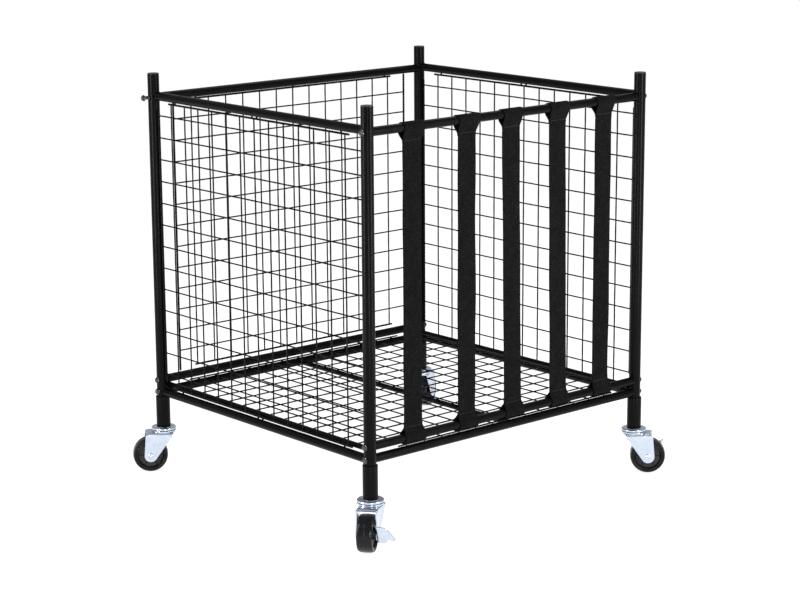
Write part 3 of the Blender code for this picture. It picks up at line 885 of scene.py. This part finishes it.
def strap_stitches(number, spot, top, low, lean):
    """Rows of thread through the strap's front and back at both ends."""
    lines = []
    for height in (top - STRAP_TOP_STITCH, low + STRAP_LOW_STITCH):
        middle = spot.x + lean(height)
        count = int(2 * (STRAP_HALF - 1.5 * MM) / STITCH_PITCH)
        for face in (-1, 1):
            depth = spot.y + face * STITCH_STAND
            for i in range(count):
                x = middle + (i - (count - 1) / 2) * STITCH_PITCH
                reach = STITCH_PITCH * 0.4
                lines.append(
                    [
                        ((x - reach, depth - face * 0.5 * MM, height - 0.15 * MM), 0.8),
                        ((x - reach * 0.6, depth, height - 0.1 * MM), 1),
                        ((x + reach * 0.6, depth, height + 0.1 * MM), 1),
                        ((x + reach, depth - face * 0.5 * MM, height + 0.15 * MM), 0.8),
                    ]
                )
    stitches = wires(f"stitches_{number}", lines, STITCH_RADIUS, resolution=1)
    return finish_piece(stitches, "frame", THREAD, "webbing")


def add_strap(number):
    """One elastic strap: a sheet that wraps the top rail and the low rail, sewn to itself."""
    node = f"strap_{number}"
    low_corner, high_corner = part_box(node)
    spot = middle_of(node)
    spot.y = middle_of("rail_top_front").y
    top, low = middle_of("rail_top_front").z, middle_of("rail_low_front").z
    shift = high_corner.x - low_corner.x - 2 * STRAP_HALF
    shake = random.Random(40 + number)

    def lean(height):
        return shift * (0.5 - (height - low) / (top - low))

    waves = []
    for _ in range(6):
        rate, phase = shake.uniform(18, 60), shake.uniform(0, math.tau)
        waves.append((rate, phase, shake.uniform(0.1, 0.28) * MM))
    flares = [
        {
            "front": shake.uniform(0.4, 2.2) * MM,
            "back": shake.uniform(3.2, 4.4) * MM,
            "crest": shake.uniform(2.2, 4.2) * MM,
        }
        for _ in range(2)
    ]
    path = strap_path(top, low)
    rows, ways = [], []
    along = 0
    for before, point in zip([path[0], *path], path):
        along += (point - before).length
        half = strap_half(point, top, low, flares)
        below_top = smooth((top - STRAP_TOP_STITCH - point.y) / STRAP_FADE)
        web = below_top * smooth((point.y - low - STRAP_LOW_STITCH) / STRAP_FADE)
        row = []
        for column in range(STRAP_COLUMNS + 1):
            share = 2 * column / STRAP_COLUMNS - 1
            edge = sum(size * math.sin(along * rate + phase) for rate, phase, size in waves)
            curl = 0.25 * MM * share * share * math.sin(along * 31 + number) * web
            ripple = edge * share * share * (1 if share > 0 else -0.7)
            x = spot.x + lean(point.y) + share * half + ripple
            row.append((x, spot.y + point.x + curl, point.y))
            ways.append((share * half, along, 0))
        rows.append(row)
    strap = grid(f"elastic_strap_{number}", rows, STRAP_THICKNESS, 0)
    way = strap.data.attributes.new("way", "FLOAT_VECTOR", "POINT")
    way.data.foreach_set("vector", [value for point in ways for value in point])
    bevelled(strap, 0.3 * MM, 60)
    finish_piece(strap, "frame", WEBBING, "webbing", node)
    stitches = strap_stitches(number, spot, top, low, lean)


# Casters.


def caster_places(corner):
    """The places of a caster's own space and of its wheel's axle, from the CAD joints."""
    joints = {joint["name"]: Vector(joint["pos_m"]) for joint in frame["joints"]}
    swivel, axle = joints["swivel_" + corner], joints["spin_" + corner]
    trail = axle - swivel
    turn = Matrix.Rotation(math.atan2(trail.y, trail.x), 4, "Z")
    foot = Matrix.Translation((swivel.x, swivel.y, 0)) @ turn
    hub = foot @ Matrix.Translation((math.hypot(trail.x, trail.y), 0, axle.z))
    return foot, hub


def top_plate():
    """The pressed plate under the leg, with its stem, groove, rolled rim and kingpin."""
    corners = [
        (0, 98),
        (4.6, 98),
        (4.6, 78),
        (12.6, 78, 0.5),
        (13.6, 76.9, 0.6),
        (15.9, 76.9, 0.7),
        (17.0, 78.0, 0.8),
        (19.6, 78.0, 1.0),
        (21.25, 77.0, 0.8),
        (21.25, 74.3, 0.3),
        (20.2, 74.3, 0.3),
        (20.2, 76.2, 0.5),
        (4.2, 76.2),
        (4.2, 67.6),
        (6.3, 67.4, 0.3),
        (5.6, 65.6, 0.5),
        (0, 65.5),
    ]
    return turned("plate", in_metres(corners), 64)


def lower_race():
    """The dished ring on the fork's crown, just under the plate's rim."""
    corners = [
        (11.5, 69.9),
        (11.5, 72.2, 0.5),
        (14.0, 72.2, 0.8),
        (15.5, 71.6, 0.6),
        (17.6, 71.6, 0.8),
        (18.6, 73.0, 0.5),
        (21.2, 73.0, 0.5),
        (21.2, 71.2, 0.6),
        (20.4, 69.9, 0.3),
    ]
    return turned("race", in_metres(corners), 64, closed=True)


def ball_ring():
    """Steel balls between the two races."""
    shell = bmesh.new()
    count = 26
    for i in range(count):
        angle = math.tau * i / count
        x, y = BALL_PATH * math.cos(angle), BALL_PATH * math.sin(angle)
        spot = Matrix.Translation((x, y, BALL_HEIGHT))
        bmesh.ops.create_icosphere(shell, subdivisions=2, radius=BALL_RADIUS, matrix=spot)
    return finished("balls", shell, 80)


def fork_edges(height):
    """The front and back of the fork's side at a height."""
    eye = Vector((FORK_TRAIL, WHEEL_RADIUS))
    front_touch = eye + Vector((math.cos(FRONT_TANGENT), math.sin(FRONT_TANGENT))) * FORK_EYE
    back_touch = eye + Vector((math.cos(BACK_TANGENT), math.sin(BACK_TANGENT))) * FORK_EYE
    chord = math.sqrt(max(0, FORK_EYE**2 - (height - eye.y) ** 2))
    shoulder = FORK_TOP - FORK_BEND
    if height > front_touch.y:
        share = min(1, (height - front_touch.y) / (shoulder - front_touch.y))
        front = front_touch.x + (FORK_FRONT - front_touch.x) * share
    else:
        front = eye.x - chord
    if height > back_touch.y:
        share = min(1, (height - back_touch.y) / (shoulder - back_touch.y))
        back = back_touch.x + (FORK_BACK - back_touch.x) * share
    else:
        back = eye.x + chord
    return front, back


def fork_rows():
    """(side, height, front, back) stations over the U, from one eye to the other."""
    half = []
    eye_steps = 9
    for step in range(eye_steps):
        angle = math.radians(4 + 82 * step / (eye_steps - 1))
        height = WHEEL_RADIUS - FORK_EYE * math.cos(angle)
        half.append((FORK_HALF, height, *fork_edges(height)))
    shoulder = FORK_TOP - FORK_BEND
    for step in range(1, 9):
        height = half[eye_steps - 1][1] + (shoulder - half[eye_steps - 1][1]) * step / 8
        half.append((FORK_HALF, height, *fork_edges(height)))
    for step in range(1, 6):
        angle = math.pi / 2 * step / 5
        side = FORK_HALF - FORK_BEND * (1 - math.cos(angle))
        height = shoulder + FORK_BEND * math.sin(angle)
        inset = 1.6 * MM * smooth(step / 5)
        half.append((side, height, FORK_FRONT, FORK_BACK - inset))
    start = half[-1][0]
    for step in range(1, 6):
        side = start * (1 - step / 5)
        half.append((side, FORK_TOP, -math.sqrt(FORK_CROWN**2 - side**2), FORK_BACK - 1.6 * MM))
    return half + [(-side, height, front, back) for side, height, front, back in half[-2::-1]]


def fork():
    """A sheet bent into a U, creased to widen towards its front, with a lip at the back."""
    rows = []
    columns = 16
    for side, height, front, back in fork_rows():
        row = []
        for column in range(columns + 1):
            x = front + (back - front) * column / columns
            lean = FORK_LEAN * max(0, FORK_CREASE - x)
            y = side * (FORK_HALF + lean) / FORK_HALF
            crown = smooth((height - FORK_TOP + 2 * MM) / (2 * MM))
            lip = FORK_LIP * crown * smooth((x - FORK_BACK + 5 * MM) / (5 * MM))
            row.append((x, y, height - lip))
        rows.append(row)
    made = grid("fork", rows, FORK_SHEET, -1)
    shell = bmesh.new()
    shell.from_mesh(made.data)
    bmesh.ops.recalc_face_normals(shell, faces=shell.faces)
    crown_faces = [f for f in shell.faces if f.calc_center_median().z > FORK_TOP - MM]
    if sum(face.normal.z for face in crown_faces) < 0:
        bmesh.ops.reverse_faces(shell, faces=shell.faces)
    shell.to_mesh(made.data)
    shell.free()
    return bevelled(made, 0.4 * MM, 50)


def wheel():
    """The turned body of a wheel: tread with its mould line, shoulders, rim groove, hub."""
    half = [
        (30.0, 0.35),
        (29.85, 0.9, 0.4),
        (29.75, 8.2, 3),
        (28.6, 11.9, 1.6),
        (27.2, 12.5, 0.8),
        (25.4, 12.5, 0.5),
        (24.7, 11.2, 0.5),
        (23.6, 11.2, 0.5),
        (22.9, 11.9, 0.4),
        (22.2, 11.9, 0.5),
        (21.6, 7.0, 0.4),
        (9.4, 7.0, 0.8),
        (8.6, 13.6, 0.7),
        (5.4, 13.9, 0.4),
        (5.0, 12.6, 0.2),
        (3.1, 12.6),
    ]
    right = [(radius, -y, *rest) for radius, y, *rest in half]
    corners = half[::-1] + [(30.1, 0)] + right
    return turned("tyre", in_metres(corners), 96, closed=True)


def disc_sectors():
    """Six raised panels on each side of the wheel, parted by thin radial grooves."""
    shell = bmesh.new()
    inner, outer = 10.4 * MM, 21.0 * MM
    count = 6
    for face in (-1, 1):
        for number in range(count):
            start = math.tau * number / count
            corners = []
            for radius, sign in ((outer, 1), (inner, -1)):
                gap = 0.85 * MM / radius
                steps = 10
                angles = [gap + (math.tau / count - 2 * gap) * i / steps for i in range(steps + 1)]
                for angle in angles[::sign]:
                    turn = start + angle
                    corners.append((radius * math.cos(turn), radius * math.sin(turn)))
            low, high = face * 6.5 * MM, face * (TREAD_HALF - DISC_DEPTH)
            under = [shell.verts.new((x, y, low)) for x, y in corners]
            over = [shell.verts.new((x, y, high)) for x, y in corners]
            shell.faces.new(under)
            shell.faces.new(over)
            for i in range(len(corners)):
                j = (i + 1) % len(corners)
                shell.faces.new((under[i], under[j], over[j], over[i]))
    return finished("disc", shell, 30)


def rivet(left_end):
    """The axle: a shaft with a domed, dimpled head at each end."""
    dimple = [(0, 1.2), (1.3, 1.3, 0.4), (1.9, 1.95, 0.5)]
    head = in_metres([*dimple, (3.4, 1.8, 0.9), (4.8, 0.8, 0.5), (4.8, 0, 0.2)])
    left = [(radius, left_end + z, *rest) for radius, z, *rest in head]
    end = FORK_HALF + 0.1 * MM
    right = [(radius, -end - z, *rest) for radius, z, *rest in head[::-1]]
    shaft = [(2.9 * MM, left_end), (2.9 * MM, -end)]
    return turned("rivet", left + shaft + right, 40)


def lever_outline():
    """The flat pattern of the brake lever, as (along the fold, away from the axle) corners."""
    fold = LEVER_FOLD_HIGH - LEVER_FOLD_LOW
    along = fold.normalized()
    out = Vector((along.y, -along.x))
    hub = Vector((-LEVER_FOLD_LOW.dot(along), -LEVER_FOLD_LOW.dot(out)))
    corners = []
    for step in range(15):
        angle = math.radians(75 + 200 * step / 14)
        corners.append(hub + Vector((math.cos(angle), math.sin(angle))) * LEVER_HUB)
    wing = [
        (-1.5, 0, 2),
        (-2.5, 10, 5),
        (-1.0, 15.5, 5),
        (6.6, 18.6, 2.5),
        (5.2, 27.6, 2),
        (8.8, 31.6, 1.5),
        (33.0, 17.6, 4),
        (33.6, 0, 4),
        (31.5, -3.5, 5),
    ]
    corners += in_metres(wing)
    return eased(corners, closed=True), along, out


def brake_lever():
    """A flat pattern cut across its fold and bent: the cheek stays flat and the wing turns out."""
    outline, along, out = lever_outline()
    shell = bmesh.new()
    face = shell.faces.new([shell.verts.new((point.x, point.y, 0)) for point in outline])
    bend_length = LEVER_BEND * math.pi / 2
    cuts = [bend_length * i / 6 for i in range(7)] + [MM * i for i in (7, 11, 15, 19, 23, 27)]
    for cut in cuts:
        everything = shell.verts[:] + shell.edges[:] + shell.faces[:]
        bmesh.ops.bisect_plane(shell, geom=everything, plane_co=(0, cut, 0), plane_no=(0, 1, 0))
    for cut in range(1, 8):
        everything = shell.verts[:] + shell.edges[:] + shell.faces[:]
        spot = (cut * 4 * MM, 0, 0)
        bmesh.ops.bisect_plane(shell, geom=everything, plane_co=spot, plane_no=(1, 0, 0))
    inner = FORK_HALF + 0.3 * MM + LEVER_SHEET / 2
    for vert in shell.verts:
        u, w = vert.co.x, vert.co.y
        turn = min(max(w, 0), bend_length) / LEVER_BEND
        flat = min(w, 0)
        rest = max(0, w - bend_length)
        sag = 0.0012 * (rest / (20 * MM)) ** 2
        away = flat + LEVER_BEND * math.sin(turn) + sag
        side = inner + LEVER_BEND * (1 - math.cos(turn)) + rest
        spot = LEVER_FOLD_LOW + along * u + out * away
        vert.co = (spot.x, side, spot.y)
    bmesh.ops.triangulate(shell, faces=[f for f in shell.faces if len(f.verts) > 4])
    lever = object_of(finished("lever", shell, 30))
    solid = lever.modifiers.new("thickness", "SOLIDIFY")
    solid.thickness = LEVER_SHEET
    solid.offset = 0
    return bevelled(lever, 0.35 * MM, 50)


def place_piece(source, name, place):
    """A copy of a piece, with its modifiers, at another place."""
    obj = source.copy()
    obj.data = source.data.copy()
    obj.name = name
    bpy.context.scene.collection.objects.link(obj)
    obj.matrix_world = place
    return obj


def add_casters():
    sources = {
        "plate": object_of(top_plate()),
        "race": object_of(lower_race()),
        "balls": object_of(ball_ring()),
        "fork": fork(),
        "tyre": object_of(wheel()),
        "disc": bevelled(object_of(disc_sectors()), 0.35 * MM, 50),
        "rivet": object_of(rivet(FORK_HALF + 0.1 * MM)),
        "braked_rivet": object_of(rivet(FORK_HALF + 0.4 * MM + LEVER_SHEET)),
        "lever": brake_lever(),
    }
    for corner in CORNERS:
        foot, hub = caster_places(corner)
        axle = hub @ Matrix.Rotation(-math.pi / 2, 4, "X")
        swivel, spin = "swivel_" + corner, "wheel_" + corner
        braked = corner in BRAKED
        rivet_kind = "braked_rivet" if braked else "rivet"
        plan = [
            ("plate", foot, "frame", ZINC, "zinc", "caster_plate_" + corner),
            ("race", foot, swivel, ZINC, "zinc", None),
            # The balls wear the dark bolt finish as painted shade, so the gap between the plate and
            # the race reads dark.
            ("balls", foot, swivel, STEEL_AND_GAP_SHADE, "zinc", None),
            ("fork", foot, swivel, ZINC, "zinc", "caster_fork_" + corner),
            (rivet_kind, axle, swivel, ZINC, "zinc", "caster_axle_" + corner),
            ("tyre", axle, spin, TYRE, "wheel", "caster_wheel_" + corner),
            ("disc", axle, spin, CORE, "wheel", None),
        ]
        if braked:
            node = "brake_lever_" + corner
            plan.append(("lever", hub, "brake_" + corner, ZINC, "zinc", node))
        for kind, place, body, material, slot, node in plan:
            name = f"{kind.replace('braked_', '')}_{corner}"
            piece = place_piece(sources[kind], name, place)
            finish_piece(piece, body, material, slot, *([node] if node else []))
    for source in sources.values():
        bpy.data.objects.remove(source)


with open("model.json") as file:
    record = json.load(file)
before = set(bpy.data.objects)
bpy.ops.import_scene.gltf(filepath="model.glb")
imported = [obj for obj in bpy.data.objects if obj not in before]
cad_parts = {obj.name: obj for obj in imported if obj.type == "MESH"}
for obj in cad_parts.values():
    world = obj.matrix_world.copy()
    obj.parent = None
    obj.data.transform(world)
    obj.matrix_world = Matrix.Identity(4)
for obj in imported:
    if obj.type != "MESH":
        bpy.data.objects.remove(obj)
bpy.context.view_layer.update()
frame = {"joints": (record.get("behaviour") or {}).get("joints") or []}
MIDDLE = sum((middle_of("post_" + corner) for corner in CORNERS), Vector()) / len(CORNERS)
MIDDLE.z = 0

add_camera()
add_stage()
PAINT = powder_coat()
STEEL_AND_GAP_SHADE = black_steel()
CAP = cap_plastic()
ZINC = zinc()
TYRE = wheel_plastic("tyre_plastic", (0.0015, 0.0015, 0.002), (0.004, 0.004, 0.005), 0.24)
CORE = wheel_plastic("core_plastic", (0.014, 0.014, 0.016), (0.022, 0.022, 0.025), 0.4)
WEBBING = webbing()
THREAD = thread()

add_posts()
add_sleeves()
add_rails()
add_welds()
add_bolts()
add_side_panels()
add_rear_panel()
add_floor_panel()
add_tacks()
for strap_number in range(1, STRAP_COUNT + 1):
    add_strap(strap_number)
add_casters()
